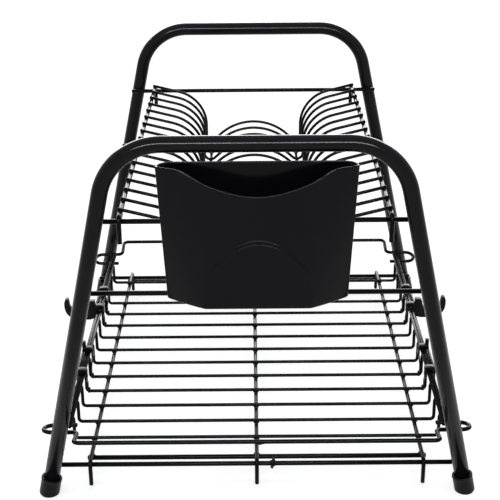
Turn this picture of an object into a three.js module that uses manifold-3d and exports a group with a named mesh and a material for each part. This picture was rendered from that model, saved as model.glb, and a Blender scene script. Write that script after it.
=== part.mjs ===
// Dish drying rack: two bent-tube end frames carry a wire tray, a wire plate rack and a cutlery
// caddy, and the tray's rim carries four clip-on cup hangers. Millimetres. +Z is up, X runs across
// the frames, Y runs from the caddy end to the far end, and the floor is z = 0.
import * as THREE from 'three';
import { mergeVertices } from 'three/addons/utils/BufferGeometryUtils.js';
import Module from 'manifold-3d';

const wasm = await Module();
wasm.setup();

const degree = Math.PI / 180;

// Wire and tube gauges, as diameters
const tubeDiameter = 12.7;
const tubeWall = 1.0;
const frameBarDiameter = 4.0;
const runnerDiameter = 3.5;
const underBarDiameter = 3.6;
const crossWireDiameter = 2.5;
const rimDiameter = 3.6;
const rimInnerDiameter = 2.5;
const endWireDiameter = 3.6;
const sideRailDiameter = 3.8;
const plateWireDiameter = 2.3;
const valleyWireDiameter = 2.5;

// Gap left where one piece rests on another
const seatGap = 0.3;

// End frames
const frameSpan = 396; // between the planes of the two frames
const frameHeight = 300; // floor to the centre of the top tube
const floorSpread = 343.6; // between the leg centres at the floor
const legLean = 12.07 * degree;
const frameBend = 48;
const upperBarDrop = 63.5; // top tube down to the bar that carries the plate rack
const middleBarDrop = 123.3; // top tube down to the bar that steadies the caddy
const bottomBarHeight = 21;
const barOverhang = 0.4; // past the outside of the legs

// Foot caps
const footWall = 1.6;
const footClearance = 0.3;
const footFloor = 3.0;
const footDepth = 14;
const footRimHeight = 1.8;
const footRimFlare = 0.6;
const footEdgeRadius = 2.6;

// Plate rack
const plateWireCount = 17;
const plateEndMargin = 15.8; // frame plane to the first plate wire
const rackLegClearance = 18.2; // side rail to leg centre, at the height of the upper bar
const rimSlope = 14 * degree;
const bowlBend = 37;
const valleyHalfWidth = 49.5; // middle to the outer wall of each valley
const valleyBend = 6;
const humpDrop = 39.5; // rim of the rack down to the top of the middle hump
const humpBend = 52;
const humpFlank = 42 * degree;
const leastStraight = 0.5; // kept between two bends
const railHookDepth = 21;
const railHookBend = 3.4;

// Tray
const crossWireCount = 13;
const crossEndMargin = 38.2; // frame plane to the first cross wire
const runnerInset = 16.6; // upright to the outer runner
const trayLegClearance = 6.9; // upright to leg centre, at the height of the rim
const trayBend = 3.2;
const rimHeight = 51;
const rimOffset = 3; // upright to the thick rim wire
const rimWeldSink = 0.15; // the thin rim wire melts this far into the thick one
const rimInnerSetback = 4; // end of the thin rim wire short of the thick one
const uprightCurl = 3;
const uprightCurlAngle = 40 * degree;
const uprightTipOut = 1.3;
const trayHookDepth = 21.4;
const trayHookBend = 3.2;
const underBarInset = 10; // frame bar to under-bar
const underBarOverhang = 4;

// End wires, whose ears pass behind the legs
const earOuterInset = 11; // frame plane to the strand beside the leg
const earStrandPitch = 17;
const earReach = 15; // hairpin tip past the leg centre
const earTuck = 4.8; // strand end inside the upright
const endWireOutset = 13.5; // end wire outside the frame plane
const earLegClearance = 13; // crank of the end wire to leg centre
const earSlope = 11.5 * degree;
const earBend = 5;

// Cutlery caddy, in plan a flat back, short splayed sides, slanted corners and a flat front
const caddyLegClearance = 35.86; // side of the rim to leg centre, at the height of the rim
const caddyBackInset = 15; // these insets are from the side of the rim
const caddyFootBackInset = 11;
const caddyFootInset = 5.5;
const caddyRimSideDepth = 13; // back to the corner of the side and the front
const caddyFootSideDepth = 5;
const caddyFrontInset = 35;
const caddyDepth = 26;
const caddyRimRise = 48.5; // above the bar that it hangs from
const caddyHeight = 110;
const caddyWall = 1.8;
const caddyFloor = 2.2;
const caddyDip = 19.5; // middle of the front rim below its ends
const caddyDipInset = 17.5;
const caddyBarGap = 0.4;
const caddyAside = 1.5; // it hangs this far right of the middle of the bar
const caddyHookWidth = 16;
const caddyHookInset = 43;
const caddyHookThickness = 1.8;
const caddyHookDrop = 5.5;

// Cup hangers: two saddles over the rim, outside two neighbouring cross wires, with a wall between
// them and a toe beside the foot of each wire. The far pair carry a hook, the near pair a tab.
const hangerSaddleWidth = 5.8;
const hangerSaddleTop = 4.2;
const hangerShoulder = 2.4;
const hangerFirstOffset = 9.7; // first wire to the middle of its saddle
const hangerLastOffset = 5.7;
const hangerWall = 1.6;
const hangerSkirt = 7; // below the rim, like the sizes down to the toes
const hangerInnerLow = 4;
const hangerArmTop = 12;
const hangerDrop = 22;
const hangerArmWall = 0.9;
const hangerArmWidth = 3.2;
const hangerToeReach = 1.3;
const hangerToeHeight = 4.6;
const hangerTabWidth = 3.2;
const hangerTabLength = 3.6;
const hangerTabHeight = 5.2;
const hookWidth = 6.5;
const hookReach = 31.2; // outside of the rim to the outside of the lip
const hookTop = 10.5; // above the rim
const hookRoot = 8; // below the rim
const hookLow = 9.5;
const hookRootLength = 8;
const hookWell = 0.5;
const hookLip = 12.8; // above the rim
const hookLipThickness = 4.6;
const hookLipCrown = 1.6; // inside of the lip to the start of its round top
const hookLipBulge = 0.6; // the lip is thicker halfway up, and curves in below
const hookToe = 0.5;
const hookFlare = 0.2;
const hookWellRound = 2;
const hookRootRound = 4;
const hookRootCut = 1.5; // slanted lower corner of the root
const nearHangerWire = 3; // the first of the two cross wires that a hanger sits on, from 0
const farHangerWire = 8;

// Colours and finishes
const coatedSteel = { color: 0x141416, roughness: 0.32, metalness: 0.0 };
const tubeFinish = { color: 0x18181b, roughness: 0.24, metalness: 0.0 };
const caddyPlastic = { color: 0x0e0e10, roughness: 0.2, metalness: 0.0 };
const footPlastic = { color: 0x17171a, roughness: 0.45, metalness: 0.0 };
const hangerPlastic = { color: 0x101012, roughness: 0.38, metalness: 0.0 };

// Places worked out from the sizes above
const halfSpan = frameSpan / 2;
const tubeRadius = tubeDiameter / 2;
const legX = (z) => floorSpread / 2 - z * Math.tan(legLean);
const legOuterX = (z) => legX(z) + tubeRadius / Math.cos(legLean);
const barY = halfSpan - tubeRadius - seatGap - frameBarDiameter / 2;
const upperBarZ = frameHeight - upperBarDrop;
const middleBarZ = frameHeight - middleBarDrop;

const sideRailZ = upperBarZ + (frameBarDiameter + sideRailDiameter) / 2 + seatGap;
const plateWireZ = sideRailZ + (sideRailDiameter + plateWireDiameter) / 2 + seatGap;
const sideRailX = legX(upperBarZ) - rackLegClearance;
const plateTipX = sideRailX + sideRailDiameter / 2;

const runnerZ = bottomBarHeight + (frameBarDiameter + runnerDiameter) / 2 + seatGap;
const crossWireZ = runnerZ + (runnerDiameter + crossWireDiameter) / 2 + seatGap;
const underBarZ = runnerZ - (runnerDiameter + underBarDiameter) / 2 - seatGap;
const uprightX = legX(rimHeight) - trayLegClearance;
const rimX = uprightX + rimOffset;
const rimInnerX = rimX - (rimDiameter + rimInnerDiameter) / 2 + rimWeldSink;
const rimInnerZ = rimHeight + (rimDiameter - rimInnerDiameter) / 4;
const runnerX = uprightX - runnerInset;
const crossWireY = (i) => spread(i, crossWireCount, halfSpan - crossEndMargin);
const plateWireY = (i) => spread(i, plateWireCount, halfSpan - plateEndMargin);

const earInnerY = halfSpan - earOuterInset - earStrandPitch;
const earOuterY = halfSpan - earOuterInset;
const endWireY = halfSpan + endWireOutset;
const earInnerZ = rimHeight - (rimDiameter + endWireDiameter) / 2 - seatGap;
const earZ = (y) => earInnerZ + (y - earInnerY) * Math.tan(earSlope);

function spread(i, count, halfLength) {
  return -halfLength + (i * 2 * halfLength) / (count - 1);
}

// A route through corners [x, y, z, bendRadius] whose turns are arcs, as points for a sweep
function route(corners, arcStep = 18 * degree) {
  const points = [];
  corners.forEach(([x, y, z, bend = 0], i) => {
    const corner = new THREE.Vector3(x, y, z);
    if (bend === 0 || i === 0 || i === corners.length - 1) {
      points.push(corner);
      return;
    }
    const before = new THREE.Vector3(...corners[i - 1].slice(0, 3)).sub(corner).normalize();
    const after = new THREE.Vector3(...corners[i + 1].slice(0, 3)).sub(corner).normalize();
    const turn = Math.PI - before.angleTo(after);
    const tangent = bend * Math.tan(turn / 2);
    const inward = before.clone().add(after).normalize();
    const centre = corner.clone().addScaledVector(inward, bend / Math.cos(turn / 2));
    const start = corner.clone().addScaledVector(before, tangent).sub(centre);
    const axis = new THREE.Vector3().crossVectors(after, before).normalize();
    const steps = Math.max(1, Math.round(turn / arcStep));
    for (let k = 0; k <= steps; k += 1) {
      points.push(start.clone().applyAxisAngle(axis, (turn * k) / steps).add(centre));
    }
  });
  return points;
}

// A curve that a sweep samples exactly at its points, with its sections square to the bends
class BentPath extends THREE.Curve {
  constructor(points) {
    super();
    this.points = points;
  }

  getPoint(t) {
    return this.points[Math.round(t * (this.points.length - 1))].clone();
  }

  getSpacedPoints() {
    return this.points.map((point) => point.clone());
  }

  getTangentAt(t) {
    const last = this.points.length - 1;
    const i = Math.round(t * last);
    const tangent = new THREE.Vector3();
    if (i > 0) tangent.add(this.points[i].clone().sub(this.points[i - 1]).normalize());
    if (i < last) tangent.add(this.points[i + 1].clone().sub(this.points[i]).normalize());
    return tangent.normalize();
  }
}

function circle(radius) {
  return new THREE.Path().absarc(0, 0, radius, 0, 2 * Math.PI, false);
}

// A round wire or tube of the given diameter along a route
function sweep(points, diameter, sides, boreDiameter = 0) {
  const section = new THREE.Shape(circle(diameter / 2).getPoints(sides / 2).slice(0, -1));
  if (boreDiameter > 0) {
    section.holes.push(new THREE.Path(circle(boreDiameter / 2).getPoints(sides / 2).slice(0, -1)));
  }
  const settings = { steps: points.length - 1, extrudePath: new BentPath(points) };
  return new THREE.ExtrudeGeometry(section, settings);
}

// A straight wire between two points that share all but one coordinate
function straight(from, to, diameter, sides = 8) {
  return sweep(route([from, to]), diameter, sides);
}

function solid(geometry) {
  const bare = geometry.clone();
  bare.deleteAttribute('normal');
  bare.deleteAttribute('uv');
  const merged = mergeVertices(bare, 1e-4);
  return new wasm.Manifold(new wasm.Mesh({
    numProp: 3,
    vertProperties: new Float32Array(merged.attributes.position.array),
    triVerts: new Uint32Array(merged.index.array),
  }));
}

function geometryOf(manifold) {
  const mesh = manifold.getMesh();
  const geometry = new THREE.BufferGeometry();
  geometry.setAttribute('position', new THREE.BufferAttribute(mesh.vertProperties, 3));
  geometry.setIndex(new THREE.BufferAttribute(mesh.triVerts, 1));
  geometry.computeVertexNormals();
  return geometry;
}

function block(x0, x1, y0, y1, z0, z1) {
  const box = new THREE.BoxGeometry(x1 - x0, y1 - y0, z1 - z0);
  box.translate((x0 + x1) / 2, (y0 + y1) / 2, (z0 + z1) / 2);
  return solid(box);
}

function joined(solids) {
  return solids.reduce((whole, piece) => whole.add(piece));
}

const rack = new THREE.Group();

function place(name, geometry, finish) {
  const mesh = new THREE.Mesh(geometry, new THREE.MeshStandardMaterial(finish));
  mesh.name = name;
  rack.add(mesh);
}

// End frames: each tube ends just above the floor of its foot caps
const tubeEndZ = footFloor + seatGap;

function frameTube(y) {
  const cornerX = legX(frameHeight);
  return sweep(route([
    [-legX(tubeEndZ), y, tubeEndZ],
    [-cornerX, y, frameHeight, frameBend],
    [cornerX, y, frameHeight, frameBend],
    [legX(tubeEndZ), y, tubeEndZ],
  ], 12 * degree), tubeDiameter, 16, tubeDiameter - 2 * tubeWall);
}

// A rod across the frame on the inner side of its legs
function frameBar(y, z) {
  const reach = legOuterX(z) + barOverhang;
  return straight([-reach, y, z], [reach, y, z], frameBarDiameter, 10);
}

// A cup round the leg's end, turned about the leg's axis and cut level with the floor
function footCap(side, y) {
  const bore = tubeRadius + footClearance;
  const outside = bore + footWall;
  const flare = outside + footRimFlare;
  const sole = -outside * Math.sin(legLean);
  const top = sole + footFloor + footDepth;
  const wellFloor = footFloor / Math.cos(legLean);
  const edge = new THREE.Path();
  edge.absarc(outside - footEdgeRadius, sole + footEdgeRadius, footEdgeRadius, -Math.PI / 2, 0, false);
  const profile = [
    new THREE.Vector2(0, sole),
    ...edge.getPoints(2),
    new THREE.Vector2(outside, top - footRimHeight),
    new THREE.Vector2(flare, top - footRimHeight + footRimFlare),
    new THREE.Vector2(flare, top),
    new THREE.Vector2(bore, top),
    new THREE.Vector2(bore, wellFloor),
    new THREE.Vector2(0, wellFloor),
  ];
  const cup = new THREE.LatheGeometry(profile, 24);
  cup.rotateX(Math.PI / 2);
  cup.rotateY(-side * legLean);
  cup.translate(side * legX(0), y, 0);
  const level = 4 * outside;
  const below = block(-level, level, -level, level, -level, 0).translate([side * legX(0), y, 0]);
  return geometryOf(solid(cup).subtract(below));
}

for (const [end, sign] of [['near', -1], ['far', 1]]) {
  place(`frame_tube_${end}`, frameTube(sign * halfSpan), tubeFinish);
  place(`upper_bar_${end}`, frameBar(sign * barY, upperBarZ), coatedSteel);
  place(`middle_bar_${end}`, frameBar(sign * barY, middleBarZ), coatedSteel);
  place(`bottom_bar_${end}`, frameBar(sign * barY, bottomBarHeight), coatedSteel);
  place(`foot_cap_${end}_left`, footCap(-1, sign * halfSpan), footPlastic);
  place(`foot_cap_${end}_right`, footCap(1, sign * halfSpan), footPlastic);
}

// A lengthwise wire that lies on the frame bars and bends down outside both of them
function hookedRail(x, z, diameter, depth, bend) {
  const y = barY + (frameBarDiameter + diameter) / 2 + seatGap;
  return sweep(route([
    [x, -y, z - depth],
    [x, -y, z, bend],
    [x, y, z, bend],
    [x, y, z - depth],
  ], 22 * degree), diameter, 8);
}

// Plate rack: the corners that the plate wires are bent about. The bends of the hump and the bowls
// are held to what the straights between them leave.
const valleyTurn = Math.PI / 2 + humpFlank;
const bowlTurn = Math.PI / 2 - rimSlope;
const valleyTangent = valleyBend * Math.tan(valleyTurn / 2);
const flankLeft = valleyHalfWidth / Math.cos(humpFlank) - valleyTangent - leastStraight;
const humpRadius = Math.min(humpBend, flankLeft / Math.tan(humpFlank));
const humpPeakZ = plateWireZ - humpDrop + humpRadius * (1 / Math.cos(humpFlank) - 1);
const valleyCornerZ = humpPeakZ - valleyHalfWidth * Math.tan(humpFlank);
const bowlCornerZ = plateWireZ - (plateTipX - valleyHalfWidth) * Math.tan(rimSlope);
const rimLeft = (plateTipX - valleyHalfWidth) / Math.cos(rimSlope) - sideRailDiameter - leastStraight;
const wallLeft = bowlCornerZ - valleyCornerZ - valleyTangent - leastStraight;
const bowlRadius = Math.min(bowlBend, Math.min(rimLeft, wallLeft) / Math.tan(bowlTurn / 2));

function plateWire(y) {
  return sweep(route([
    [-plateTipX, y, plateWireZ],
    [-valleyHalfWidth, y, bowlCornerZ, bowlRadius],
    [-valleyHalfWidth, y, valleyCornerZ, valleyBend],
    [0, y, humpPeakZ, humpRadius],
    [valleyHalfWidth, y, valleyCornerZ, valleyBend],
    [valleyHalfWidth, y, bowlCornerZ, bowlRadius],
    [plateTipX, y, plateWireZ],
  ], 21 * degree), plateWireDiameter, 6);
}

// The lengthwise wire below the lowest point of each valley
function valleyWire(sign) {
  const lowestZ = valleyCornerZ + valleyTangent - valleyBend;
  const x = sign * (valleyHalfWidth - valleyBend);
  const z = lowestZ - (plateWireDiameter + valleyWireDiameter) / 2 - seatGap;
  const reach = plateWireY(plateWireCount - 1) + plateWireDiameter / 2;
  return straight([x, -reach, z], [x, reach, z], valleyWireDiameter);
}

for (const [side, sign] of [['left', -1], ['right', 1]]) {
  const rail = hookedRail(sign * sideRailX, sideRailZ, sideRailDiameter, railHookDepth, railHookBend);
  place(`rack_side_rail_${side}`, rail, coatedSteel);
  place(`rack_valley_wire_${side}`, valleyWire(sign), coatedSteel);
}
for (let i = 0; i < plateWireCount; i += 1) {
  place(`plate_wire_${String(i + 1).padStart(2, '0')}`, plateWire(plateWireY(i)), coatedSteel);
}

// Tray
function crossWire(y) {
  const tipX = uprightX + uprightTipOut;
  const tipBelowRim = (rimInnerDiameter + crossWireDiameter * Math.sin(uprightCurlAngle)) / 2 + seatGap;
  const tipZ = rimInnerZ - tipBelowRim;
  const curlZ = tipZ - uprightTipOut / Math.tan(uprightCurlAngle);
  return sweep(route([
    [-tipX, y, tipZ],
    [-uprightX, y, curlZ, uprightCurl],
    [-uprightX, y, crossWireZ, trayBend],
    [uprightX, y, crossWireZ, trayBend],
    [uprightX, y, curlZ, uprightCurl],
    [tipX, y, tipZ],
  ], 22 * degree), crossWireDiameter, 6);
}

for (let i = 0; i < crossWireCount; i += 1) {
  place(`tray_wire_${String(i + 1).padStart(2, '0')}`, crossWire(crossWireY(i)), coatedSteel);
}
for (const [name, sign] of [['left', -1], ['middle', 0], ['right', 1]]) {
  const runner = hookedRail(sign * runnerX, runnerZ, runnerDiameter, trayHookDepth, trayHookBend);
  place(`tray_runner_${name}`, runner, coatedSteel);
}

// The thick rim wire with the thin one welded along its inner side
function rimPair(sign) {
  const reach = earOuterY - endWireDiameter / 2 - seatGap;
  const thinReach = reach - rimInnerSetback;
  const thickX = sign * rimX;
  const thinX = sign * rimInnerX;
  const thick = straight([thickX, -reach, rimHeight], [thickX, reach, rimHeight], rimDiameter);
  const thin = straight([thinX, -thinReach, rimInnerZ], [thinX, thinReach, rimInnerZ], rimInnerDiameter);
  return geometryOf(solid(thick).add(solid(thin)));
}

place('tray_rim_left', rimPair(-1), coatedSteel);
place('tray_rim_right', rimPair(1), coatedSteel);

// The bar below the runners, just inside each frame's bottom bar
function underBar(sign) {
  const y = sign * (barY - underBarInset);
  const reach = runnerX + underBarOverhang;
  return straight([-reach, y, underBarZ], [reach, y, underBarZ], underBarDiameter);
}

place('tray_under_bar_near', underBar(-1), coatedSteel);
place('tray_under_bar_far', underBar(1), coatedSteel);

// An end wire across the outside of the legs, cranked in behind them and folded back as two ears
function endWire(sign) {
  const crankX = legX(earZ(endWireY)) - earLegClearance;
  const tipX = legX(rimHeight) + earReach;
  const tuckX = uprightX - earTuck;
  const half = (side) => [
    [side * tuckX, sign * earInnerY, earZ(earInnerY)],
    [side * tipX, sign * earInnerY, earZ(earInnerY), earStrandPitch / 2 - 0.5],
    [side * tipX, sign * earOuterY, earZ(earOuterY), earStrandPitch / 2 - 0.5],
    [side * crankX, sign * earOuterY, earZ(earOuterY), earBend],
    [side * crankX, sign * endWireY, earZ(endWireY), earBend],
  ];
  return sweep(route([...half(-1), ...half(1).reverse()], 26 * degree), endWireDiameter, 8);
}

place('tray_end_wire_near', endWire(-1), coatedSteel);
place('tray_end_wire_far', endWire(1), coatedSteel);

// Cutlery caddy, drawn with the outside of its back at y = 0 and its front towards -y
const caddyBackY = -(barY + frameBarDiameter / 2 + caddyBarGap);
const caddyRimZ = upperBarZ + caddyRimRise;
const caddyFootZ = caddyRimZ - caddyHeight;
const caddyHalfWidth = legX(caddyRimZ) - caddyLegClearance;

function caddyOutline(backInset, sideInset, sideDepth, inset) {
  const back = caddyHalfWidth - backInset - inset;
  const side = caddyHalfWidth - sideInset - inset;
  const flat = caddyHalfWidth - caddyFrontInset - inset / 2;
  const front = -(caddyDepth - inset);
  const outline = new THREE.Shape();
  outline.moveTo(-back, -inset);
  outline.quadraticCurveTo(-side, -inset, -side, -sideDepth);
  outline.quadraticCurveTo(-(side + flat) / 2, (front - sideDepth) / 2 - 2, -flat, front);
  outline.lineTo(flat, front);
  outline.quadraticCurveTo((side + flat) / 2, (front - sideDepth) / 2 - 2, side, -sideDepth);
  outline.quadraticCurveTo(side, -inset, back, -inset);
  return outline.getPoints(6);
}

// A solid between two outlines that have the same number of points
function loft(lower, upper, lowZ, highZ) {
  const count = lower.length;
  const positions = [];
  lower.forEach((point) => positions.push(point.x, point.y, lowZ));
  upper.forEach((point) => positions.push(point.x, point.y, highZ));
  const triangles = [];
  for (let i = 0; i < count; i += 1) {
    const next = (i + 1) % count;
    triangles.push(i, next, count + next, i, count + next, count + i);
  }
  THREE.ShapeUtils.triangulateShape(lower, []).forEach(([a, b, c]) => {
    triangles.push(c, b, a, count + a, count + b, count + c);
  });
  const geometry = new THREE.BufferGeometry();
  geometry.setAttribute('position', new THREE.Float32BufferAttribute(positions, 3));
  geometry.setIndex(triangles);
  return geometry;
}

function caddyShell(inset, lowZ, highZ) {
  const at = (z, foot, rim) => foot + ((rim - foot) * (z - caddyFootZ)) / caddyHeight;
  const outlineAt = (z) => caddyOutline(
    at(z, caddyFootBackInset, caddyBackInset),
    at(z, caddyFootInset, 0),
    at(z, caddyFootSideDepth, caddyRimSideDepth),
    inset,
  );
  return solid(loft(outlineAt(lowZ), outlineAt(highZ), lowZ, highZ));
}

// The part of the front wall that is cut away to give the rim its dip
function caddyDipCutter() {
  const edge = caddyHalfWidth - caddyDipInset;
  const low = caddyRimZ - caddyDip;
  const above = caddyRimZ + caddyDip;
  const shape = new THREE.Shape();
  shape.moveTo(-edge, caddyRimZ);
  shape.quadraticCurveTo(-edge * 0.4, low, 0, low);
  shape.quadraticCurveTo(edge * 0.4, low, edge, caddyRimZ);
  shape.lineTo(edge, above);
  shape.lineTo(-edge, above);
  const settings = { depth: 2 * caddyDepth, bevelEnabled: false, curveSegments: 10 };
  const cutter = new THREE.ExtrudeGeometry(shape, settings);
  cutter.rotateX(Math.PI / 2);
  cutter.translate(0, -2 * caddyWall, 0);
  return solid(cutter);
}

// A strap from the back over the frame's bar, with its end turned down behind it
function caddyHook(x) {
  const left = x - caddyHookWidth / 2;
  const right = x + caddyHookWidth / 2;
  const under = upperBarZ + frameBarDiameter / 2 + seatGap;
  const top = under + caddyHookThickness;
  const behind = 2 * caddyBarGap + frameBarDiameter;
  const end = behind + caddyHookThickness;
  const over = block(left, right, -caddyWall / 2, end, under, top);
  const down = block(left, right, behind, end, under - caddyHookDrop, top);
  return over.add(down);
}

const caddySolid = caddyShell(0, caddyFootZ, caddyRimZ)
  .subtract(caddyShell(caddyWall, caddyFootZ + caddyFloor, caddyRimZ + caddyWall))
  .subtract(caddyDipCutter())
  .add(caddyHook(caddyHookInset - caddyHalfWidth))
  .add(caddyHook(caddyHalfWidth - caddyHookInset));
place('cutlery_caddy', geometryOf(caddySolid.translate([caddyAside, caddyBackY, 0])), caddyPlastic);

// Cup hangers, drawn on the right-hand rim and mirrored for the left
const hangerInnerX = uprightX - crossWireDiameter / 2 - seatGap;
const hangerOuterX = rimX + rimDiameter / 2 + seatGap;
const hangerTop = rimHeight + rimDiameter / 2 + hangerSaddleTop;

// A plate across Y, from a shape drawn in X and Z
function plateAcross(shape, y0, y1) {
  const settings = { depth: y1 - y0, bevelEnabled: false, curveSegments: 6 };
  const plate = new THREE.ExtrudeGeometry(shape, settings);
  plate.rotateX(Math.PI / 2);
  plate.translate(0, y1, 0);
  return solid(plate);
}

// A plate across X, from points in Y and Z
function plateAlong(points, x0, x1) {
  const shape = new THREE.Shape(points.map(([y, z]) => new THREE.Vector2(y, z)));
  const plate = new THREE.ExtrudeGeometry(shape, { depth: x1 - x0, bevelEnabled: false });
  plate.rotateX(Math.PI / 2);
  plate.rotateZ(Math.PI / 2);
  plate.translate(x0, 0, 0);
  return solid(plate);
}

// One saddle with its inner arm, which runs down in front of a cross wire and ends in a toe
function hangerSaddle(wireY, middleY) {
  const near = middleY - hangerSaddleWidth / 2;
  const far = middleY + hangerSaddleWidth / 2;
  const innerX = hangerInnerX - hangerWall;
  const outerX = hangerOuterX + hangerWall;
  const under = rimHeight + rimDiameter / 2 + seatGap;
  const innerLow = rimHeight - hangerInnerLow;
  const armTop = rimHeight - hangerArmTop;
  const armLow = rimHeight - hangerDrop;
  const armFar = wireY - crossWireDiameter / 2 - seatGap;
  const armNear = armFar - hangerArmWidth;
  const arch = new THREE.Shape();
  arch.moveTo(innerX, innerLow);
  arch.lineTo(innerX, hangerTop - hangerShoulder);
  arch.quadraticCurveTo(innerX, hangerTop, innerX + hangerShoulder, hangerTop);
  arch.lineTo(outerX - hangerShoulder, hangerTop);
  arch.quadraticCurveTo(outerX, hangerTop, outerX, hangerTop - hangerShoulder);
  arch.lineTo(outerX, under);
  arch.lineTo(hangerInnerX, under);
  arch.lineTo(hangerInnerX, innerLow);
  const arm = [[near, innerLow], [far, innerLow], [armFar, armTop], [armFar, armLow], [armNear, armLow], [armNear, armTop]];
  const armX = hangerInnerX - hangerArmWall;
  return joined([
    plateAcross(arch, near, far),
    plateAlong(arm, armX, hangerInnerX),
    block(armX - hangerToeReach, hangerInnerX, armNear, armFar, armLow, armLow + hangerToeHeight),
  ]);
}

// A deep root beside the wall, a well for the handle of a cup, and an upright lip
function hangerHook(y) {
  const wallX = hangerOuterX + hangerWall / 2;
  const lipX = hangerOuterX + hookReach;
  const innerX = lipX - hookLipThickness;
  const rootX = hangerOuterX + hookRootLength;
  const wellX = (rootX + innerX) / 2;
  const z = (rise) => rimHeight + rise;
  const shape = new THREE.Shape();
  shape.moveTo(wallX, z(-hookRoot));
  shape.lineTo(rootX - hookRootCut, z(-hookLow));
  shape.lineTo(wellX, z(-hookLow));
  shape.quadraticCurveTo(lipX - hookToe, z(-hookRoot), lipX, z(hookTop / 2));
  shape.quadraticCurveTo(lipX + hookFlare, z(hookLip), innerX + hookLipCrown, z(hookLip));
  shape.quadraticCurveTo(innerX, z(hookLip), innerX - hookLipBulge, z(hookTop / 2));
  shape.quadraticCurveTo(innerX - hookWellRound, z(-hookWell), wellX, z(-hookWell));
  shape.quadraticCurveTo(rootX, z(-hookWell), rootX, z(hookTop / 2));
  shape.quadraticCurveTo(rootX, z(hookTop), rootX - hookRootRound, z(hookTop));
  shape.lineTo(wallX, z(hookTop));
  return plateAcross(shape, y, y + hookWidth);
}

function hanger(firstWire, hooked, side) {
  const firstY = crossWireY(firstWire);
  const lastY = crossWireY(firstWire + 1);
  const firstSaddleY = firstY - hangerFirstOffset;
  const lastSaddleY = lastY + hangerLastOffset;
  const near = firstSaddleY - hangerSaddleWidth / 2;
  const far = lastSaddleY + hangerSaddleWidth / 2;
  const outerX = hangerOuterX + hangerWall;
  const low = rimHeight - hangerSkirt;
  const wall = block(hangerOuterX, outerX, near, far, low, hangerTop - hangerShoulder);
  const pieces = [hangerSaddle(firstY, firstSaddleY), hangerSaddle(lastY, lastSaddleY), wall];
  const tabLow = hangerTop - hangerShoulder;
  const tabTop = hangerTop + hangerTabHeight;
  const tab = block(outerX - hangerTabWidth, outerX, far - hangerTabLength, far, tabLow, tabTop);
  pieces.push(hooked ? hangerHook(near) : tab);
  const whole = joined(pieces);
  return geometryOf(side < 0 ? whole.mirror([1, 0, 0]) : whole);
}

for (const [side, sign] of [['left', -1], ['right', 1]]) {
  place(`cup_hanger_near_${side}`, hanger(nearHangerWire, false, sign), hangerPlastic);
  place(`cup_hanger_far_${side}`, hanger(farHangerWire, true, sign), hangerPlastic);
}

rack.name = 'dish_drying_rack';
export default rack;
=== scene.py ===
import math

import bmesh
import bpy
import numpy as np
from mathutils import Matrix, Vector


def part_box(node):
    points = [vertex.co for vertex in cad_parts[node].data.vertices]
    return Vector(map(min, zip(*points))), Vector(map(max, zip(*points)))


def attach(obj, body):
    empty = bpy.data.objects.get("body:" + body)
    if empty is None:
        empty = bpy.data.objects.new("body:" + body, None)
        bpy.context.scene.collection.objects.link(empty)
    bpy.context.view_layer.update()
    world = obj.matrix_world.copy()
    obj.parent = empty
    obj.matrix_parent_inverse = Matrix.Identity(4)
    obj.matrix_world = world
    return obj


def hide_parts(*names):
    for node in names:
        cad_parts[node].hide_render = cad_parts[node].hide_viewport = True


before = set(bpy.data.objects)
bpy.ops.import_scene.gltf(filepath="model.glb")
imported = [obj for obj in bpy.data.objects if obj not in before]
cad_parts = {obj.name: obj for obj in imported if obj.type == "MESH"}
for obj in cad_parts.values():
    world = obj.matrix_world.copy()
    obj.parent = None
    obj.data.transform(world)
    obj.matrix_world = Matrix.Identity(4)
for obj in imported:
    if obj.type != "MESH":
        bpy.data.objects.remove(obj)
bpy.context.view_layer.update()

mm = 0.001  # sizes below are in millimetres, the scene is in metres

scene = bpy.context.scene
scene.view_settings.view_transform = "Standard"


cameraLook = dict(place=(-3.4, -1014.3, 557.9), pitch=22.727, yaw=-0.0604, roll=-0.4544, lens=84.24)

lens = bpy.data.cameras.new("camera")
lens.lens = cameraLook["lens"]
lens.sensor_width = 36
lens.clip_start, lens.clip_end = 0.02, 60
lens.dof.use_dof = False
camera = bpy.data.objects.new("camera", lens)
scene.collection.objects.link(camera)
turn = Matrix.Rotation(math.radians(-cameraLook["yaw"]), 4, "Z")
tilt = Matrix.Rotation(math.radians(90 - cameraLook["pitch"]), 4, "X")
roll = Matrix.Rotation(math.radians(cameraLook["roll"]), 4, "Z")
camera.matrix_world = Matrix.Translation(Vector(cameraLook["place"]) * mm) @ turn @ tilt @ roll
scene.camera = camera


class Value:
    # one socket of a shader, so that sums on it can be written out
    def __init__(self, nodes, socket):
        self.nodes, self.socket = nodes, socket

    def maths(self, operation, first, second):
        return self.nodes.add("ShaderNodeMath", {"operation": operation}, {0: first, 1: second})

    def __add__(self, other):
        return self.maths("ADD", self, other)

    def __radd__(self, other):
        return self.maths("ADD", other, self)

    def __sub__(self, other):
        return self.maths("SUBTRACT", self, other)

    def __mul__(self, other):
        return self.maths("MULTIPLY", self, other)


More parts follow.
